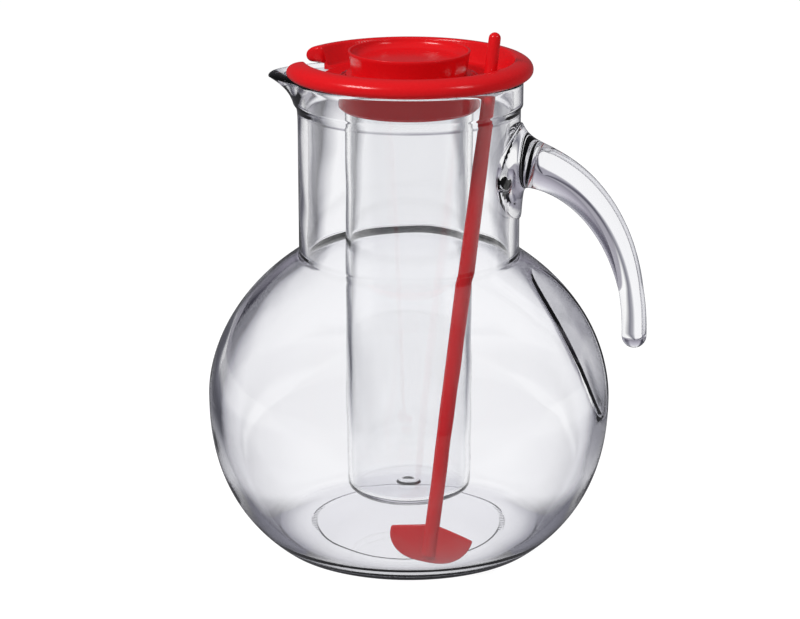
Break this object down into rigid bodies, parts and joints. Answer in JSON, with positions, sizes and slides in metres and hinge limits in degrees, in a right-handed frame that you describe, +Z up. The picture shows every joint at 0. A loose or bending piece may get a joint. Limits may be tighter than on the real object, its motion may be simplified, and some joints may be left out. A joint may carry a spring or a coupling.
{
  "type": "water jug",
  "caption": "Round-bellied glass water jug with a hooked glass handle, pouring spout, lift-off plastic lid, hanging ice tube with a dished cap, and a leaning stirrer.",
  "frame": {"origin": "centre of the jug's flat base, on the axis of the neck and belly", "axes": "+Z up, +X from the axis towards the handle, -X towards the spout"},
  "size_m": [0.1791, 0.164, 0.2132],
  "materials": {
    "clear_glass": "clear polished glass",
    "red_plastic": "glossy moulded plastic",
    "clear_plastic": "clear moulded plastic"
  },
  "bodies": {
    "jug": {"jug_body": "clear_glass", "jug_handle": "clear_glass"},
    "lid": {"lid": "red_plastic"},
    "ice_tube": {"ice_tube": "clear_plastic"},
    "tube_cap": {"tube_cap": "red_plastic"},
    "stirrer": {"stirrer": "red_plastic"}
  },
  "joints": [
    {"name": "lid_lift", "type": "slide", "parent": "jug", "child": "lid", "axis": [0, 0, 1], "range_m": [0, 0.19]},
    {"name": "tube_lift", "type": "slide", "parent": "lid", "child": "ice_tube", "axis": [0, 0, 1], "range_m": [0, 0.18]},
    {"name": "cap_lift", "type": "slide", "parent": "ice_tube", "child": "tube_cap", "axis": [0, 0, 1], "range_m": [0, 0.03]},
    {"name": "stirrer_sweep", "type": "hinge", "parent": "jug", "child": "stirrer", "pos_m": [0, 0, 0], "axis": [0, 0, 1], "range_deg": [-10, 22]}
  ]
}
